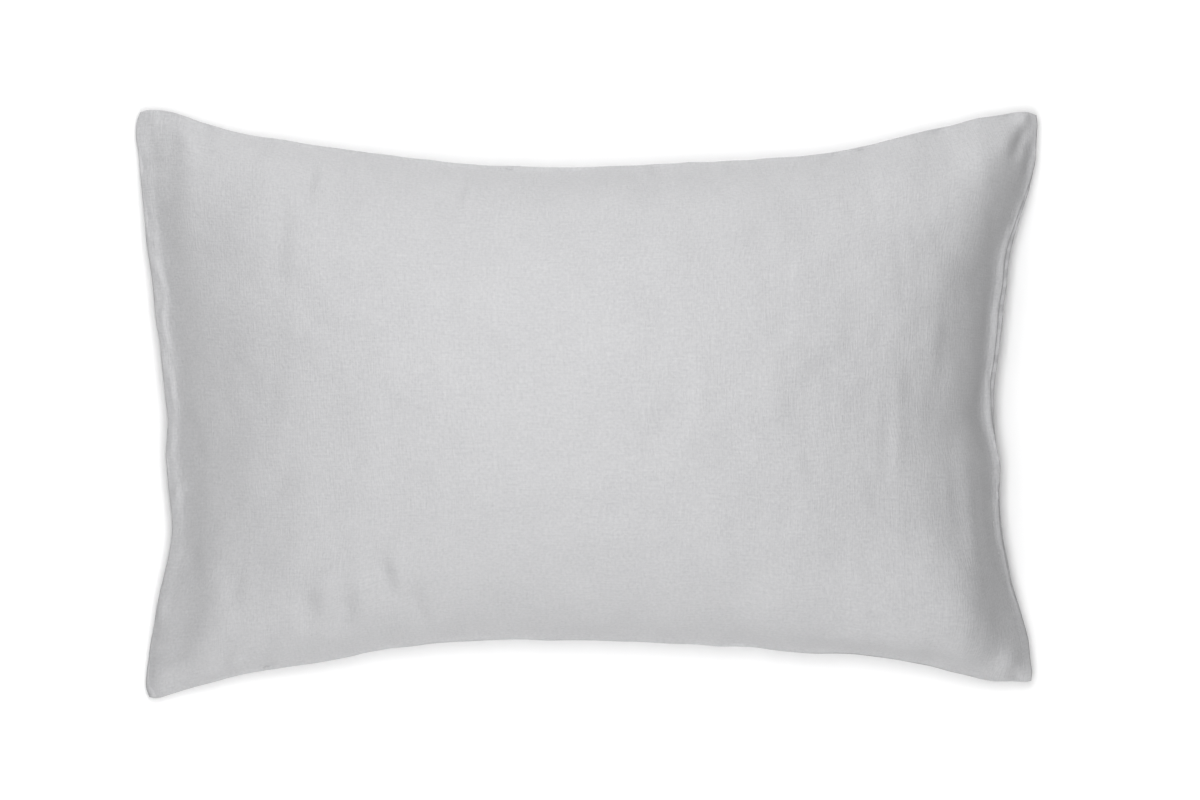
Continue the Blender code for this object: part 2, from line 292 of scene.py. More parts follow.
print("the front rises", FRONT_RISE, "mm over the seam and the back drops", BACK_DROP, "mm below it")

# %% One panel
SEAM_HALF = 0.5
HEM_HALF = 1.2
HEM_FADE = 30.0
UNDERSIDE = 0.6


def mouth_share(u, v):
    """How much of the hem's thickness a place has: 1 at the mouth, 0 at its corners and away from it."""
    from_corner = np.minimum(v, 1 - v) * WIDTH
    return np.clip(1 - (1 - u) * LENGTH / HEM_FADE, 0, 1) * np.clip(from_corner / HEM_FADE, 0, 1)


def panel(u, v, side):
    """The front panel where side is 1, the back panel where it is -1."""
    place = seam_sheet(u, v)
    share = mouth_share(u, v)
    place[..., 2] += side * (SEAM_HALF + (HEM_HALF - SEAM_HALF) * share)
    if side > 0:
        place[..., 0] -= smoothly(MOUTH, "setback", v) * share
        levels = (CLOSED_END_LEVEL, MOUTH_LEVEL)
        place[..., 2] += FRONT_RISE * crown(u, v, CLOSED_END_SHOULDER, MOUTH_SHOULDER, LONG_SHOULDER, levels)
    else:
        place[..., 2] -= BACK_DROP * crown(u, v, BACK_SHOULDER, BACK_SHOULDER, BACK_SHOULDER)
        place[..., 2] = np.maximum(place[..., 2], UNDERSIDE)
    return place


fullest = panel(np.array([FULLEST / LENGTH]), np.array([0.5]), 1)[0]
print("the front's fullest place is", round(float(fullest[2])), "mm over the floor")

# %% The grid's lines
CLOSED_END_LINES = (0.0, 2.5, 5.0, 7.5, 10.0, 12.5, 15.0, 18.0, 22.0, 27.0, 33.0, 40.0)
MOUTH_LINES = (0.0, 2.0, 4.0, 6.0, 8.0, 10.5, 13.5, 17.0, 21.0, 26.0, 32.0, 39.0, 47.0)
LONG_SIDE_LINES = (0.0, 1.5, 3.0, 5.0, 8.0, 12.0, 17.0, 23.0, 30.0)
MIDDLE_STEP = 6.4


def lines(first, last, whole):
    """Every grid line across one direction, from 0 to 1."""
    count = round((whole - first[-1] - last[-1]) / MIDDLE_STEP)
    middle = np.linspace(first[-1], whole - last[-1], count + 1)[1:-1]
    return np.array([*first, *middle, *(whole - at for at in reversed(last))]) / whole


columns = lines(CLOSED_END_LINES, MOUTH_LINES, LENGTH)
rows = lines(LONG_SIDE_LINES, LONG_SIDE_LINES, WIDTH)
U, V = np.meshgrid(columns, rows, indexing="ij")
front = panel(U, V, 1)
back = panel(U, V, -1)
sewn = seam_sheet(U, V)
last = len(columns) - 1
top = len(rows) - 1
for layer, grid in (("front", front), ("back", back)):
    lengthwise = np.linalg.norm(np.diff(grid[:, top // 2], axis=0), axis=1).sum()
    crosswise = np.linalg.norm(np.diff(grid[last // 2], axis=0), axis=1).sum()
    print(layer, "panel over the middle:", round(float(lengthwise)), "x", round(float(crosswise)), "mm")

# %% [markdown]
# ## One mesh from both grids
#
# Sewing joins the panels, so along the three sewn sides they share one row of points. At the mouth the two
# layers don't meet: each turns inward and runs back as the inner face of its hem. Three numbers ride along
# on every point: how far it is from the closed end, how far from the bottom seam, and which panel it is on.
# Vertex groups could say the same, but numbers can be subdivided and measured, so later steps find the lip
# and the hem by them.

# %% Put the points down
# The flat cut, in metres
CUT_LENGTH = 0.75
CUT_WIDTH = 0.5
CUT_HALF_APART = 0.0004
# The groove between the hems, in millimetres: how deep its rings of points lie, and half of how far it opens
GROOVE_DEPTHS = (6.5, 14.0, 24.0)
GROOVE_HALF = 0.7
# It reaches its full opening this many grid lines from each corner
GROOVE_OPENS_OVER = 6
last_ring = len(GROOVE_DEPTHS) - 1
places, cut, marks, number = [], [], [], {}


def put(key, place, u, v, side):
    """Keep one point: its place, its place on the flat cut, and the three numbers that ride along."""
    number[key] = len(places)
    places.append(place * MM)
    cut.append((u * CUT_LENGTH, v * CUT_WIDTH, CUT_HALF_APART * side))
    marks.append((u * LENGTH, v * WIDTH, side))


for i, u in enumerate(columns):
    for j, v in enumerate(rows):
        on_seam = i == 0 or j in (0, top)
        put(("front", i, j), sewn[i, j] if on_seam else front[i, j], u, v, 0.0 if on_seam else 1.0)
        if on_seam:
            number["back", i, j] = number["front", i, j]
        else:
            put(("back", i, j), back[i, j], u, v, -1.0)

# The mouth's inner faces run back between the panels and meet at the last ring
for ring_number, depth in enumerate(GROOVE_DEPTHS):
    for j in range(1, top):
        inner = sewn[last, j] - np.array([depth, 0.0, 0.0])
        from_corner = min(1.0, min(j, top - j) / GROOVE_OPENS_OVER)
        opening = GROOVE_HALF * (1 - ring_number / last_ring) * from_corner
        for layer, side in (("front", 1), ("back", -1)):
            if ring_number == last_ring and layer == "back":
                number["inner back", ring_number, j] = number["inner front", ring_number, j]
            else:
                lifted = inner + np.array([0.0, 0.0, side * opening])
                put((f"inner {layer}", ring_number, j), lifted, 1.0, rows[j], 2.0 * side)

print(len(places), "points on the two panels and inside the mouth")

# %% Join them with faces
def inner_corner(layer, ring_number, j):
    """A point inside the mouth, or on its edge where the ring is the edge itself or j is at a corner."""
    if j in (0, top) or ring_number < 0:
        return number[layer, last, j]
    return number[f"inner {layer}", ring_number, j]


faces = []
for i in range(last):
    for j in range(top):
        ring = ((i, j), (i + 1, j), (i + 1, j + 1), (i, j + 1))
        faces.append([number["front", *at] for at in ring])
        faces.append([number["back", *at] for at in reversed(ring)])
for layer, turned in (("front", False), ("back", True)):
    for step in range(len(GROOVE_DEPTHS)):
        for j in range(top):
            around = ((step - 1, j), (step, j), (step, j + 1), (step - 1, j + 1))
            ring = [inner_corner(layer, *at) for at in around]
            # At the mouth's corners some of the four are the same point
            ring = list(dict.fromkeys(reversed(ring) if turned else ring))
            if len(ring) > 2:
                faces.append(ring)

case_mesh = bpy.data.meshes.new("linen_pillowcase")
case_mesh.from_pydata(places, [], faces)
for name, column in (("from_closed_end", 0), ("from_bottom", 1), ("panel", 2)):
    case_mesh.attributes.new(name, "FLOAT", "POINT").data.foreach_set("value", [m[column] for m in marks])
case = bpy.data.objects.new("linen_pillowcase", case_mesh)
bpy.context.scene.collection.objects.link(case)
print("the grid has", len(places), "points and", len(faces), "faces")

# %% [markdown]
# ## Filling it
#
# Pressure inside the cloth does what a filling does. The points start on the crown, but their springs take
# their length from the flat cut, 750 x 500 mm, so the panels pull tight along their threads and settle. The
# seams and lips are pinned, gravity is off, and the floor collides, which presses the underside flat. What
# it gives is read back, lessened beside the stiff seams, and becomes the mesh, so no cloth modifier stays on
# the piece.

# %% Read a mesh's points
def points_of(mesh):
    """The places of all the mesh's points, one row for each."""
    flat = np.empty(len(mesh.vertices) * 3, np.float32)
    mesh.vertices.foreach_get("co", flat)
    return flat.reshape(-1, 3).astype(float)


before = points_of(case_mesh)
print("the crown is", round(float(before[:, 2].max()) / MM), "mm high before it is filled")

# %% The cloth simulation
PINNED_AT_CLOSED_END = 9.0
PINNED_AT_MOUTH = 6.5
FILLING_FRAMES = 24


def fill_with_pressure(thing):
    """The places of the thing's points after the cloth has filled out. The thing itself stays as it was."""
    thing.shape_key_add(name="as it lies")
    flat_cut = thing.shape_key_add(name="flat cut")
    flat_cut.data.foreach_set("co", np.array(cut, np.float32).ravel())
    flat_cut.value = 0.0
    pinned = thing.vertex_groups.new(name="seams")
    held = [n for n, (along, across, side) in enumerate(marks)
            if abs(side) != 1.0 or along < PINNED_AT_CLOSED_END or along > LENGTH - PINNED_AT_MOUTH]
    pinned.add(held, 1.0, "REPLACE")
    floor.modifiers.new("stops cloth", "COLLISION")
    floor.collision.thickness_outer = 0.001
    cloth = thing.modifiers.new("filling", "CLOTH")
    cloth.settings.quality = 6
    cloth.settings.mass = 0.0002
    cloth.settings.tension_stiffness = cloth.settings.compression_stiffness = 30.0
    cloth.settings.shear_stiffness = 5.0
    cloth.settings.bending_stiffness = 0.002
    cloth.settings.tension_damping = cloth.settings.compression_damping = 1.0
    cloth.settings.use_pressure = True
    cloth.settings.uniform_pressure_force = 5.0
    cloth.settings.vertex_group_mass = "seams"
    cloth.settings.rest_shape_key = flat_cut
    cloth.settings.effector_weights.gravity = 0.0
    cloth.collision_settings.distance_min = 0.001
    cloth.point_cache.frame_start = 1
    cloth.point_cache.frame_end = FILLING_FRAMES + 2
    for moment in range(1, FILLING_FRAMES + 1):
        bpy.context.scene.frame_set(moment)
    settled = thing.evaluated_get(bpy.context.evaluated_depsgraph_get())
    filled = points_of(settled.to_mesh())
    settled.to_mesh_clear()
    thing.modifiers.remove(cloth)
    thing.shape_key_clear()
    thing.vertex_groups.clear()
    floor.modifiers.clear()
    bpy.context.scene.frame_set(1)
    return filled


print(sum(abs(side) == 1.0 for along, across, side in marks), "points are free or nearly free to move")

# %% Run it and keep what it gives
MOST_MOVE = 0.006
STIFF_BESIDE_SEAM = 30.0
LOWEST = 0.0004

move = fill_with_pressure(case) - before
far = np.linalg.norm(move, axis=1, keepdims=True)
move *= np.minimum(1.0, MOST_MOVE / np.maximum(far, 1e-9))
beside = np.array([min(along, LENGTH - along, across, WIDTH - across) for along, across, side in marks])
move *= 1 - np.exp(-((beside / STIFF_BESIDE_SEAM) ** 2))[:, None]
after = before + move
after[:, 2] = np.maximum(after[:, 2], LOWEST)
case_mesh.vertices.foreach_set("co", after.astype(np.float32).ravel())
print("the cloth moved by up to", round(float(far.max()) / MM, 1), "mm")

# %% [markdown]
# ## Thread coordinates
#
# A weave has to follow the threads, not the view. Measuring along the rows and columns of the finished grid
# gives each point its place on the flat cloth, in metres. These go into a UV map, which only carries numbers
# here: no picture is ever laid on it. The back panel and the hems' inner faces are shifted, so that they
# show other parts of the cloth.

# %% Measure the cloth and keep it as a UV map
now = points_of(case_mesh)


def measured(layer):
    """How far each grid point lies along its row and up its column, scaled to the cut's 750 x 500 mm."""
    grid = np.array([[now[number[layer, i, j]] for j in range(top + 1)] for i in range(last + 1)])
    along = np.linalg.norm(np.diff(grid, axis=0), axis=2).cumsum(axis=0)
    along = np.vstack([np.zeros((1, top + 1)), along])
    up = np.linalg.norm(np.diff(grid, axis=1), axis=2).cumsum(axis=1)
    up = np.hstack([np.zeros((last + 1, 1)), up])
    return along / along[-1:] * CUT_LENGTH, up / up[:, -1:] * CUT_WIDTH


BACK_SHIFT = 0.6
INNER_SHIFT = 1.0

thread_map = case_mesh.uv_layers.new(name="threads")
thread_at = {}
for layer, shift in (("front", 0.0), ("back", BACK_SHIFT)):
    along, up = measured(layer)
    for i in range(last + 1):
        for j in range(top + 1):
            thread_at[layer, number[layer, i, j]] = (along[i, j], up[i, j] + shift)
for face_number, polygon in enumerate(case_mesh.polygons):
    layer = "front" if face_number % 2 == 0 else "back"
    for loop in polygon.loop_indices:
        corner = case_mesh.loops[loop].vertex_index
        on_inner_face = (now[corner][0] + INNER_SHIFT, now[corner][1])
        thread_map.data[loop].uv = thread_at.get((layer, corner), on_inner_face)
print("thread map on", len(case_mesh.polygons), "faces")

# %% [markdown]
# ## Folds
#
# One subdivision makes the grid fine enough for small forms, which are then moved in code, point by point.
# Sculpting them by hand would do as well, but a table keeps each fold where it lies on the real case and can
# be read. A fold is a ridge or a trough with a middle, a heading, a length, a width and a rise, and it fades
# towards its ends. Some are pairs: a trough with a ridge beside it is how a crease catches soft light.

# %% Subdivide
case_mesh.shade_smooth()
finer = case.modifiers.new("finer", "SUBSURF")
finer.levels = finer.render_levels = 1
finer.uv_smooth = "NONE"
fine_mesh = bpy.data.meshes.new_from_object(case.evaluated_get(bpy.context.evaluated_depsgraph_get()))
case.modifiers.remove(finer)
case.data = fine_mesh
bpy.data.meshes.remove(case_mesh)
fine_mesh.name = "linen_pillowcase"
print("the case has", len(fine_mesh.polygons), "faces")

# %% Folds of the front panel, in millimetres
# The last number is how many times wider a fold is on the left of its heading
Fold = namedtuple("Fold", "x y heading length width rise skew", defaults=(1.0,))

FOLDS = (
    # Long soft creases that hang from the far side, most of them nearer the closed end
    Fold(-241, 150, 91, 190, 10, -1.1), Fold(-230, 154, 91, 170, 8, 0.9), Fold(-222, 180, 82, 56, 7, -3.4),
    Fold(-211, 182, 82, 50, 7, 1.6), Fold(-103, 166, 74, 84, 8, -3.6), Fold(-93, 168, 74, 70, 8, 2.0),
    Fold(58, 175, 80, 40, 7, -2.2), Fold(-137, 184, 75, 40, 6, -2.4), Fold(20, 160, 84, 60, 10, 0.9),
    # Short strokes that fan out from the near side, nearer the closed end
    Fold(-161, -131, 104, 70, 9, -3.6), Fold(-137, -154, 102, 56, 8, -5.0), Fold(-145, -138, 106, 60, 8, 3.2),
    Fold(-193, -166, 80, 50, 9, -4.2), Fold(-222, -162, 92, 50, 9, -3.4), Fold(-129, -173, 90, 32, 7, -2.6),
    Fold(-282, -143, 90, 54, 9, -2.0), Fold(-205, -146, 96, 60, 9, 2.8), Fold(-176, -148, 96, 60, 8, 2.4),
    # The near corner of the closed end: two hollows and a puckered ridge along the seam
    Fold(-324, -163, 62, 76, 15, -2.8), Fold(-343, -204, 12, 66, 8, -5.6), Fold(-302, -184, 55, 70, 15, 3.4),
    Fold(-304, -216, 17, 90, 5, 3.4), Fold(-284, -209, 40, 30, 6, 4.4),
    # Two places where the closed end puckers
    Fold(-328, -70, 58, 32, 4, 3.0), Fold(-317, -124, 78, 44, 9, -2.2),
    # The far corner of the closed end
    Fold(-354, 206, 100, 76, 8, -3.0), Fold(-334, 198, 112, 90, 14, -3.4), Fold(-322, 216, 128, 54, 7, 3.0),
    Fold(-324, 186, 100, 90, 12, 2.4), Fold(-312, 212, 120, 54, 9, -2.2),
    # The far corner of the mouth: a lobe, two narrow valleys and the hem's own ridge
    Fold(335, 210, 66, 52, 8, 3.4), Fold(349, 213, 62, 54, 5, -4.6), Fold(351, 198, 74, 52, 4, 1.6),
    Fold(355, 198, 76, 72, 7, -5.0), Fold(365, 190, 78, 70, 4, 1.6),
    # Soft dents and swellings in the wall that falls to the mouth
    Fold(279, 100, 80, 64, 10, 1.5), Fold(268, 52, 80, 64, 11, 1.1), Fold(284, 58, 80, 60, 9, -1.5),
    Fold(253, 17, 85, 54, 9, -0.7), Fold(241, -50, 90, 120, 6, 0.8), Fold(234, -52, 90, 110, 5, -0.7),
    Fold(298, -84, 92, 170, 7, 1.8), Fold(287, -80, 92, 150, 5, -0.8), Fold(227, -102, 25, 80, 16, -2.0),
    Fold(300, 150, 80, 90, 22, 3.0), Fold(312, 196, 75, 90, 20, 4.0), Fold(300, 128, 60, 76, 14, 1.6),
    Fold(313, 106, 66, 64, 8, -2.6), Fold(318, -30, 100, 70, 10, -1.6),
    # The near corner of the mouth: a broad mound, a steeper one, two valleys and a small lobe at the tip
    Fold(236, -150, 106, 230, 75, 11.0, 1.5), Fold(292, -172, 106, 180, 29, 15.0, 2.5),
    Fold(330, -176, 106, 120, 20, -4.0), Fold(276, -198, 105, 70, 11, -4.0), Fold(337, -208, 60, 44, 9, 4.6),
)


def folds_at(x, y):
    """What all the folds add to the front panel at each place."""
    total = np.zeros_like(x)
    for fold in FOLDS:
        heading = math.radians(fold.heading)
        along = (x - fold.x) * math.cos(heading) + (y - fold.y) * math.sin(heading)
        across = (y - fold.y) * math.cos(heading) - (x - fold.x) * math.sin(heading)
        fade = np.cos(np.clip(np.abs(along) / (fold.length / 2), 0, 1) * math.pi / 2) ** 2
        width = np.where(across > 0, fold.width * fold.skew, fold.width)
        total += fold.rise * fade * np.exp(-((across / width) ** 2))
    return total


print(len(FOLDS), "folds, the longest of them", max(fold.length for fold in FOLDS), "mm")

# %% [markdown]
# ## Gathers and rumples
#
# A straight seam that is pulled inwards has cloth to spare, so it puckers: many short gathers stand side by
# side along it and die out over one or two centimetres, with a few longer ones between them. No two are
# alike, so their places, widths and rises come from a random row with a fixed seed, which gives the same
# case every time. Away from the seams the cloth is only uneven, in patches as wide as a hand and in smaller
# ones, and noise of a few sizes does that better than a table would.

# %% Gathers along the seams
# How far apart gathers of one kind stand, how far they reach inward and how high they rise, in millimetres
Kind = namedtuple("Kind", "spacing reach rise")
TIGHT = Kind(16.0, 13.0, 2.8)
LOOSE = Kind(45.0, 48.0, 3.6)
AT_ENDS = Kind(18.0, 13.0, 2.4)
SEWN_FLAT = 3.0

Gather = namedtuple("Gather", "at reach width rise lean")


def gathers(whole, kind, size, seed):
    """Gathers along a seam of that length, each with its own place, reach, width, rise and lean."""
    chance = np.random.RandomState(seed)
    count = round(whole / kind.spacing)
    return [Gather(at=(n + chance.uniform(0.1, 0.9)) * whole / count,
                   reach=kind.reach * chance.uniform(0.4, 1.3),
                   width=kind.spacing * chance.uniform(0.2, 0.42),
                   rise=kind.rise * size * chance.uniform(-1.0, 1.0),
                   lean=chance.uniform(-0.5, 0.5)) for n in range(count)]


def gathered(gathering, along, away):
    """What a row of gathers adds at each place. They start just inside the seam and die out inward."""
    total = np.zeros_like(along)
    for gather in gathering:
        shape = np.exp(-(((along - gather.at - gather.lean * away) / gather.width) ** 2))
        total += gather.rise * shape * np.exp(-((away / gather.reach) ** 2))
    return total * np.clip(away / SEWN_FLAT, 0, 1)


print(round(LENGTH / TIGHT.spacing), "tight gathers a long side,", round(WIDTH / AT_ENDS.spacing), "an end")

# %% Rumples
# How high a rumple is, its size along the case and across it in millimetres, and its own layer of the noise
Rumple = namedtuple("Rumple", "rise along across layer")
HAND_WIDE = Rumple(1.3, 70.0, 60.0, 0.5)
FINGER_WIDE = Rumple(1.4, 30.0, 34.0, 4.5)
SMALL = Rumple(0.5, 12.0, 15.0, 8.5)
DRAWN_OUT = Rumple(0.55, 9.0, 45.0, 12.5)


def rumpled(points, kind):
    """An uneven height between minus and plus the kind's rise, which changes over its two sizes."""
    scaled = points[:, :2] / MM / np.array([kind.along, kind.across])
    return kind.rise * np.array([noise.noise(Vector((x, y, kind.layer))) for x, y in scaled])


form = points_of(fine_mesh)
broad = rumpled(form, HAND_WIDE) + rumpled(form, FINGER_WIDE)
small = rumpled(form, SMALL)
drawn_out = rumpled(form, DRAWN_OUT)
heights = [round(float(np.ptp(rumples)), 1) for rumples in (broad, small, drawn_out)]
print("from their lowest to their highest place the rumples are", heights, "mm")

# %% Read where each point lies on the cloth
def numbers_of(mesh, name):
    """One of the three numbers that ride along, for every point."""
    values = np.empty(len(mesh.vertices), np.float32)
    mesh.attributes[name].data.foreach_get("value", values)
    return values.astype(float)


from_closed = numbers_of(fine_mesh, "from_closed_end")
from_bottom = numbers_of(fine_mesh, "from_bottom")
panel_side = numbers_of(fine_mesh, "panel")
from_mouth = LENGTH - from_closed
from_long_side = np.minimum(from_bottom, WIDTH - from_bottom)
on_front = np.clip(panel_side, 0, 1) * (panel_side < 1.5)
on_back = np.clip(-panel_side, 0, 1) * (panel_side > -1.5)
from_seam = np.minimum(from_long_side, np.minimum(from_closed, from_mouth))
print(int(on_front.sum()), "points on the front and", int(on_back.sum()), "on the back")

# %% How far folds and gathers lift each point
CARRIED_NEAR_SEAM = 9.0
CORNERS_WITHOUT_GATHERS = 40.0

folded = folds_at(form[:, 0] / MM, form[:, 1] / MM)
rise = folded * on_front
# Where a fold reaches a seam, the other layer rides over it too
carried = folded * np.exp(-((from_seam / CARRIED_NEAR_SEAM) ** 2)) * (1 - on_front)

long_seams = (from_bottom, WIDTH - from_bottom)
ends_without_corners = np.clip(from_long_side / CORNERS_WITHOUT_GATHERS, 0, 1)
# The hidden back is gathered more
for side, size, seed in ((on_front, 1.0, 3), (on_back, 1.8, 17)):
    tight = [gathered(gathers(LENGTH, TIGHT, size, seed + n), from_closed, away)
             for n, away in enumerate(long_seams)]
    loose = [gathered(gathers(LENGTH, LOOSE, size, seed + 2 + n), from_closed, away)
             for n, away in enumerate(long_seams)]
    ends = [gathered(gathers(WIDTH, AT_ENDS, size, seed + 4 + n), from_bottom, away) * ends_without_corners
            for n, away in enumerate((from_closed, from_mouth))]
    rise += (sum(tight) + sum(loose) + sum(ends)) * side
print("folds and gathers move the cloth by", rise.min().round(1), "to", rise.max().round(1), "mm")

# %% Rumple the cloth and move its points
SMOOTH_AT_SEAM = 5.0
SMOOTH_AT_CLOSED_END = 2.0
DRAWN_OUT_FROM = 350.0
BACK_RUMPLED = 1.6
UPRIGHT_NEAR_SEAM = 22.0

# The cloth between the folds is never quite smooth, and towards the mouth it also has long narrow rumples
inside = np.minimum(from_closed - SMOOTH_AT_CLOSED_END, np.minimum(from_mouth, from_long_side))
loose_enough = np.clip(inside / SMOOTH_AT_SEAM, 0, 1)
toward_mouth = np.clip(from_closed / DRAWN_OUT_FROM - 1, 0, 1)
rise += (broad + small + drawn_out * toward_mouth) * loose_enough * (on_front + BACK_RUMPLED * on_back)
# Beside a seam the cloth moves up and down, so the outline stays as it was sewn
normals = np.array([vertex.normal for vertex in fine_mesh.vertices])
upright = np.exp(-((from_seam / UPRIGHT_NEAR_SEAM) ** 2))[:, None]
outward = normals * (1 - upright) + np.array([0.0, 0.0, 1.0]) * (on_front - on_back)[:, None] * upright
form += outward * (rise * MM)[:, None]
form[:, 2] += carried * MM
print("with the rumples the cloth moves by", rise.min().round(1), "to", rise.max().round(1), "mm")

# %% [markdown]
# ## The lip, the hem and the corners
#
# At the closed end the cloth that was turned in makes the lip thicker, with a soft ridge at its inner edge
# that comes and goes. The mouth's hem is a thicker band, and its stitches press a line into it. A second
# layer of mesh could lie there as in the real hem, but it would hide under the first and cost as many points
# again, so these are raised and sunken lines beside an edge. A sewn corner is turned inside out, which
# rounds its tip.

# %% The closed end's lip and the mouth's hem
HEM_STITCHED_AT = 7.5

# A line beside an edge: how high it is, how far it lies from the edge, and how wide it is, in millimetres
Ridge = namedtuple("Ridge", "rise at width")
LIP_RIDGE = Ridge(1.1, 7.0, 3.2)
LIP_TROUGH = Ridge(-0.4, 13.0, 4.0)
HEM_BAND = Ridge(0.25, 2.5, 2.4)
STITCHED_LINE = Ridge(-0.25, HEM_STITCHED_AT, 1.4)
LIP_WANDERS = Rumple(3.5, 30.0, 24.0, 30.5)
LIP_VARIES = Rumple(1.6, 60.0, 17.0, 34.5)
WIDEST_LIP = 20.0


def ridged(distance, ridge):
    """A rounded line: its full rise at its place, and nearly nothing at twice its width."""
    return ridge.rise * np.exp(-(((distance - ridge.at) / ridge.width) ** 2))


from_lip = from_closed + rumpled(form, LIP_WANDERS)
as_wide_as_lip = smoothly(CLOSED_END_LEVEL, "lip", from_bottom / WIDTH) / WIDEST_LIP
fullness = as_wide_as_lip * (1.0 + rumpled(form, LIP_VARIES))
lip = (ridged(from_lip, LIP_RIDGE) + ridged(from_lip, LIP_TROUGH)) * fullness
hem = ridged(from_mouth, HEM_BAND) + ridged(from_mouth, STITCHED_LINE)
form[:, 2] += (lip + hem) * (on_front - on_back) * MM
print("the lip's ridge is up to", round(float(lip.max()), 1), "mm high")

# %% The seams and the corners
WANDERS_LENGTHWISE = Rumple(1.1, 24.0, 24.0, 20.5)
WANDERS_CROSSWISE = Rumple(1.1, 24.0, 24.0, 24.5)
WANDERS_NEAR_SEAM = 18.0
PEEKS_OUT = 2.6
PEEKING_ALONG = (Ridge(1.0, 498.0, 26.0), Ridge(0.8, 588.0, 9.0))
PEEKING_ACROSS = Ridge(1.0, 6.0, 4.0)
TIP_ROUND = 6.0
TIP_PULLED_IN = 1.8

# No seam runs quite straight
near_edge = np.exp(-((from_seam / WANDERS_NEAR_SEAM) ** 2))
lengthwise = rumpled(form, WANDERS_LENGTHWISE) * near_edge
form[:, 0] += lengthwise * MM
form[:, 1] += rumpled(form, WANDERS_CROSSWISE) * near_edge * MM

# In two places the back panel shows a little under the near side
peeking = sum(ridged(from_closed, place) for place in PEEKING_ALONG)
form[:, 1] -= PEEKS_OUT * peeking * ridged(from_bottom, PEEKING_ACROSS) * on_back * MM

# The corners' tips are turned, so they are a little round
from_end = np.minimum(from_closed, from_mouth)
tip = np.exp(-((from_end**2 + from_long_side**2) / TIP_ROUND**2))
form[:, 0] -= TIP_PULLED_IN * tip * np.sign(form[:, 0]) * MM
form[:, 1] -= TIP_PULLED_IN * tip * np.sign(form[:, 1]) * MM
fine_mesh.vertices.foreach_set("co", form.astype(np.float32).ravel())
fine_mesh.shade_smooth()
fine_mesh.update()
print("the seams wander by up to", round(float(np.abs(lengthwise).max()), 1), "mm")

# %% Centre it in the solid's box, resting on the floor
OVER_FLOOR = 0.0003

middle = (form.min(axis=0) + form.max(axis=0)) / 2
cad_middle = (np.array(cad_low) + np.array(cad_high)) / 2
form[:, :2] += (cad_middle - middle)[:2]
form[:, 2] -= form[:, 2].min() - OVER_FLOOR
fine_mesh.vertices.foreach_set("co", form.astype(np.float32).ravel())
fine_mesh.update()
print("moved by", [round(float(x) / MM, 2) for x in (cad_middle - middle)[:2]], "mm")

# %% [markdown]
# ## The stitches of the hems
#
# A sewing machine leaves a row of short threads, each of which sinks into the cloth at both ends. A bevelled
# curve would give one long cord, so each stitch is a small spindle of its own, thick in the middle and
# pointed at its ends. The rows lie on the finished cloth: two of the grid's lines run beside them, and the
# points halfway between follow every fold of the hem.

# %% Find the two rows on the cloth
STITCH_PITCH = 3.2
UNSTITCHED_CORNER = 6.0
# Grid lines this close to the row show where it lies
BESIDE_ROW = 0.8


def hem_row(layer):
    """Places and normals along one hem's stitches, at even steps from the bottom corner to the top."""
    beside = np.flatnonzero((np.abs(from_mouth - HEM_STITCHED_AT) < BESIDE_ROW) & (layer > 0.9))
    rung = np.unique(np.round(from_bottom[beside], 2), return_inverse=True)[1]
    count = np.bincount(rung)[:, None]
    facing = np.array([fine_mesh.vertices[int(n)].normal for n in beside])
    place = np.stack([np.bincount(rung, form[beside, axis]) for axis in range(3)], axis=1) / count
    normal = np.stack([np.bincount(rung, facing[:, axis]) for axis in range(3)], axis=1) / count
    run = np.append(0.0, np.cumsum(np.linalg.norm(np.diff(place, axis=0), axis=1)))
    steps = np.arange(UNSTITCHED_CORNER * MM, run[-1] - UNSTITCHED_CORNER * MM, STITCH_PITCH * MM)
    even = [np.stack([np.interp(steps, run, values[:, axis]) for axis in range(3)], axis=1)
            for values in (place, normal)]
    return even[0], even[1] / np.linalg.norm(even[1], axis=1, keepdims=True)


stitch_rows = [hem_row(on_front), hem_row(on_back)]
print([len(row[0]) for row in stitch_rows], "stitches on the two hems")

# %% One stitch
STITCH_LENGTH = 2.7
THREAD_RADIUS = 0.26
SIDES = 6
# Where the rings of points lie, as parts of the stitch's length, and how the stitch arches, in millimetres
RINGS_AT = (-0.42, -0.2, 0.2, 0.42)
MIDDLE_RAISED = 0.12
ARCHED = 1.6
TIPS_SUNK = 0.3


def sew_stitch(into, middle_place, up, ahead):
    """A spindle along the hem: four rings of points, and two pointed ends that sink into the cloth."""
    beside_it = up.cross(ahead).normalized()
    turns = [math.radians(360 / SIDES * corner) for corner in range(SIDES)]
    rings = []
    for part in RINGS_AT:
        girth = THREAD_RADIUS * math.cos(part * math.pi) ** 0.6
        raised = MIDDLE_RAISED - ARCHED * part**2
        core = middle_place + ahead * (part * STITCH_LENGTH * MM) + up * (raised * MM)
        rings.append([into.verts.new(core + (beside_it * math.cos(turn) + up * math.sin(turn)) * girth * MM)
                      for turn in turns])
    for ring, after in zip(rings, rings[1:]):
        for corner in range(SIDES):
            following = (corner + 1) % SIDES
            into.faces.new((ring[corner], ring[following], after[following], after[corner]))
    for ring, part in ((rings[0], -0.5), (rings[-1], 0.5)):
        point = into.verts.new(middle_place + ahead * (part * STITCH_LENGTH * MM) - up * (TIPS_SUNK * MM))
        for corner in range(SIDES):
            into.faces.new((ring[corner], ring[(corner + 1) % SIDES], point))


print("a stitch is", STITCH_LENGTH, "mm long and", 2 * THREAD_RADIUS, "mm thick")

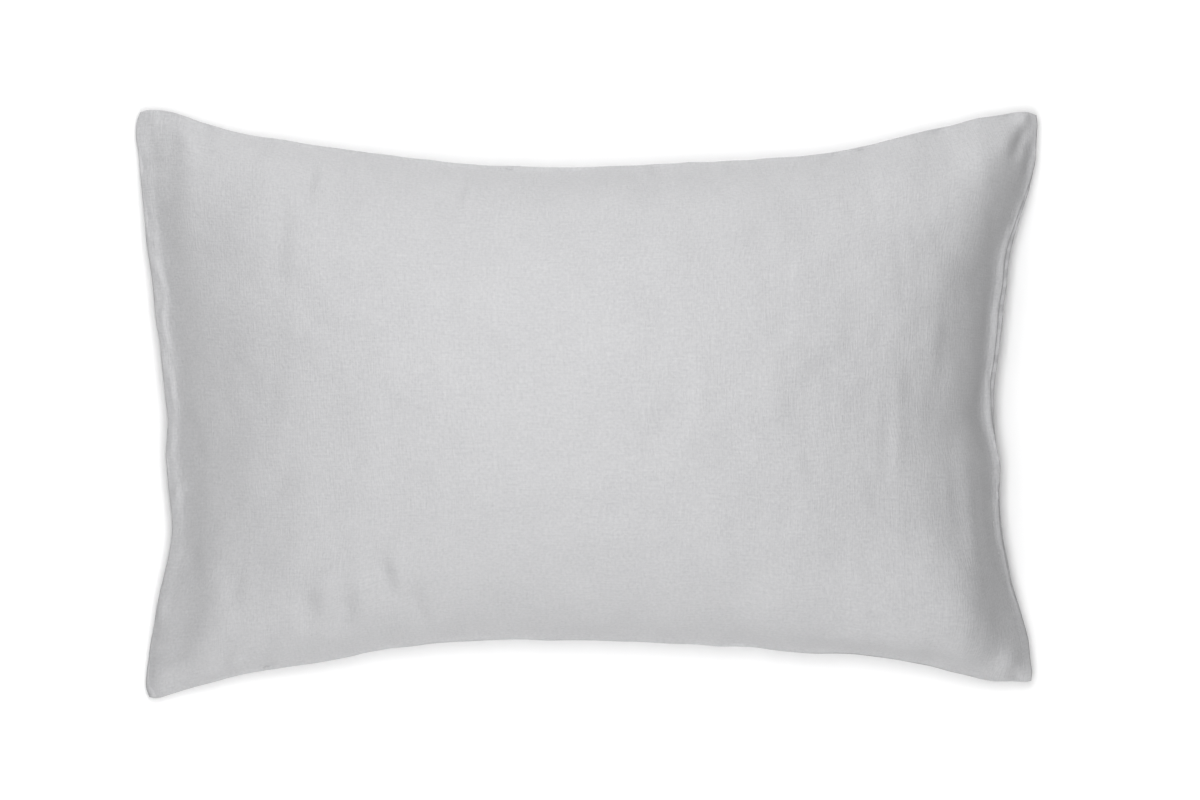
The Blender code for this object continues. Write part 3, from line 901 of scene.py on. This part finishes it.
# %% Sew both rows
stitch_form = bmesh.new()
for stitch_places, facings in stitch_rows:
    headings = np.gradient(stitch_places, axis=0)
    for middle_place, facing, heading in zip(stitch_places, facings, headings):
        sew_stitch(stitch_form, Vector(middle_place), Vector(facing), Vector(heading).normalized())
bmesh.ops.recalc_face_normals(stitch_form, faces=stitch_form.faces)
stitch_mesh = bpy.data.meshes.new("hem_stitches")
stitch_form.to_mesh(stitch_mesh)
stitch_form.free()
stitch_mesh.shade_smooth()
stitches = bpy.data.objects.new("hem_stitches", stitch_mesh)
bpy.context.scene.collection.objects.link(stitches)
print("the stitches have", len(stitch_mesh.polygons), "faces")

# %% [markdown]
# ## Shader maths as Python
#
# Building a node tree by hand means naming every link. This small class holds one socket, and Python's own
# operators add the Math nodes, so a mask reads like the sum that it is. Everything else, such as a noise or
# a bump, comes from one method that takes the node's type, its settings and its inputs.

# %% One class for sockets
class Wire:
    def __init__(self, tree, socket):
        self.tree = tree
        self.socket = socket

    def node(self, kind, settings=None, out=0, **inputs):
        """A node, as the wire from one of its outputs. An input goes by its name, or as i and its number."""
        made = self.tree.nodes.new(kind)
        for key, value in (settings or {}).items():
            setattr(made, key, value)
        for key, value in inputs.items():
            socket = made.inputs[int(key[1:]) if key[1:].isdigit() else key]
            if isinstance(value, Wire):
                self.tree.links.new(value.socket, socket)
            else:
                socket.default_value = value
        return Wire(self.tree, made.outputs[out])

    def maths(self, operation, *values):
        """One Math node, with the values or wires on its inputs."""
        numbered = {f"i{n}": value for n, value in enumerate(values)}
        return self.node("ShaderNodeMath", {"operation": operation}, **numbered)

    def __add__(self, other):
        return self.maths("ADD", self, other)

    def __radd__(self, other):
        return self.maths("ADD", other, self)

    def __sub__(self, other):
        return self.maths("SUBTRACT", self, other)

    def __rsub__(self, other):
        return self.maths("SUBTRACT", other, self)

    def __mul__(self, other):
        return self.maths("MULTIPLY", self, other)

    def __rmul__(self, other):
        return self.maths("MULTIPLY", other, self)

    def stretched(self, along, across):
        """These coordinates as millimetres along and across the threads, over the given sizes."""
        return self.node("ShaderNodeVectorMath", {"operation": "MULTIPLY"}, i0=self,
                         i1=(1 / (along * MM), 1 / (across * MM), 1.0))

    def noise(self, detail=1.0):
        """Flat noise from 0 to 1 at these coordinates."""
        return self.node("ShaderNodeTexNoise", {"noise_dimensions": "2D"},
                         Vector=self, Scale=1.0, Detail=detail)


print("a wire can", ", ".join(name for name in vars(Wire) if not name.startswith("_")))

# %% [markdown]
# ## Linen
#
# Linen yarn is uneven: thick places, the slubs, run along single threads for a few millimetres and catch the
# light as short streaks, some along the case and some across it. Between them the plain weave reads as a
# fine grain. The colour comes from yarns of two near greys. Photographs of cloth would repeat and carry
# someone else's light, so all of this is made from noise that is stretched along the threads.

# %% Make the linen
linen = bpy.data.materials.new("grey_linen")
linen.use_nodes = True
tree = linen.node_tree
shader = tree.nodes["Principled BSDF"]
threads = Wire(tree, None).node("ShaderNodeUVMap", {"uv_map": "threads"})


def threads_like(place, along, across):
    """Noise that is drawn out over the given millimetres along the case and across it."""
    return place.stretched(along, across).noise()


slubs_along = threads_like(threads, 16.0, 1.3)
slubs_across = threads_like(threads, 1.3, 12.0)
grain = threads_like(threads, 2.6, 2.3)
clouds = threads.stretched(60.0, 45.0).noise(detail=2.0)
print(len(tree.nodes), "nodes so far: slubs both ways, grain and clouds")

# %% [markdown]
# ### The plain weave
#
# Close to, each thread goes over one and under the next. The product of two sine waves, one counted along
# the case and one across it, has exactly that pattern of raised and sunken crossings. A noise with a colour
# output shifts both counts a little, so that no thread runs dead straight. A Brick texture could do it as
# well, but its joints would be sharp, and yarn is round.

# %% The weave itself, thread over thread
PITCH = 0.45

uneven = threads.node("ShaderNodeTexNoise", {"noise_dimensions": "2D"}, out=1,
                      Vector=threads.stretched(3.0, 3.0), Scale=1.0, Detail=0.0)
counted = threads.node("ShaderNodeVectorMath", {"operation": "MULTIPLY_ADD"}, i0=uneven, i1=(1.6, 1.6, 0.0),
                       i2=threads.stretched(PITCH / math.pi, PITCH / math.pi))
warp = counted.node("ShaderNodeSeparateXYZ", Vector=counted)
weft = Wire(tree, warp.socket.node.outputs["Y"])
crossed = warp.maths("SINE", warp) * weft.maths("SINE", weft)
print("a thread crosses another every", PITCH, "mm")

# %% Colour, roughness and relief
tone = 1.1 * (grain - 0.5) + 0.6 * (slubs_along - 0.5) + 0.3 * (slubs_across - 0.5)
tone = tone + 0.3 * (clouds - 0.5) + 0.05 * crossed + 0.5
yarns = tone.node("ShaderNodeMix", {"data_type": "RGBA"}, out=2, i0=tone,
                  i6=(0.402, 0.402, 0.412, 1.0), i7=(0.483, 0.483, 0.49, 1.0))
tree.links.new(yarns.socket, shader.inputs["Base Color"])

rough = 0.86 + 0.1 * grain
tree.links.new(rough.socket, shader.inputs["Roughness"])
height = 0.4 * grain + 0.3 * slubs_along + 0.8 * slubs_across + 0.05 * crossed
relief = height.node("ShaderNodeBump", Strength=0.6, Distance=0.0006, Height=height)
tree.links.new(relief.socket, shader.inputs["Normal"])
shader.inputs["Specular IOR Level"].default_value = 0.25
shader.inputs["Sheen Weight"].default_value = 0.05
shader.inputs["Sheen Roughness"].default_value = 0.5
fine_mesh.materials.clear()
fine_mesh.materials.append(linen)
print(len(tree.nodes), "nodes make the linen")

# %% [markdown]
# ## Sewing thread
#
# The thread is cotton of the same grey, twisted from two plies, so its relief runs round it as fine slanting
# ribs. A Wave texture along the object's own coordinates gives those ribs, and a little noise keeps them
# uneven.

# %% Make the thread
sewing_thread = bpy.data.materials.new("grey_sewing_thread")
sewing_thread.use_nodes = True
tree = sewing_thread.node_tree
thread_shader = tree.nodes["Principled BSDF"]
here = Wire(tree, None).node("ShaderNodeTexCoord", out=3)
fuzz = here.node("ShaderNodeTexNoise", Vector=here, Scale=2500.0, Detail=1.0)
plies = here.node("ShaderNodeTexWave", {"bands_direction": "DIAGONAL"}, out=1, Vector=here, Scale=700.0,
                  Distortion=1.0)
thread_tone = fuzz.node("ShaderNodeMix", {"data_type": "RGBA"}, out=2, i0=0.6 * fuzz + 0.4 * plies,
                        i6=(0.37, 0.37, 0.378, 1.0), i7=(0.5, 0.5, 0.508, 1.0))
tree.links.new(thread_tone.socket, thread_shader.inputs["Base Color"])
twist = plies.node("ShaderNodeBump", Strength=0.5, Distance=0.00008, Height=plies + 0.3 * fuzz)
tree.links.new(twist.socket, thread_shader.inputs["Normal"])
thread_shader.inputs["Roughness"].default_value = 0.75
thread_shader.inputs["Specular IOR Level"].default_value = 0.3
stitch_mesh.materials.append(sewing_thread)
print(len(tree.nodes), "nodes make the thread")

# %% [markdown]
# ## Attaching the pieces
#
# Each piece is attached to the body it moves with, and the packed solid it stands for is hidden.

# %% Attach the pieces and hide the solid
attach(case, "root")
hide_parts("filled_case")
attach(stitches, "root")
print("two pieces ride on root")

# %% Update the scene and finish
bpy.context.view_layer.update()
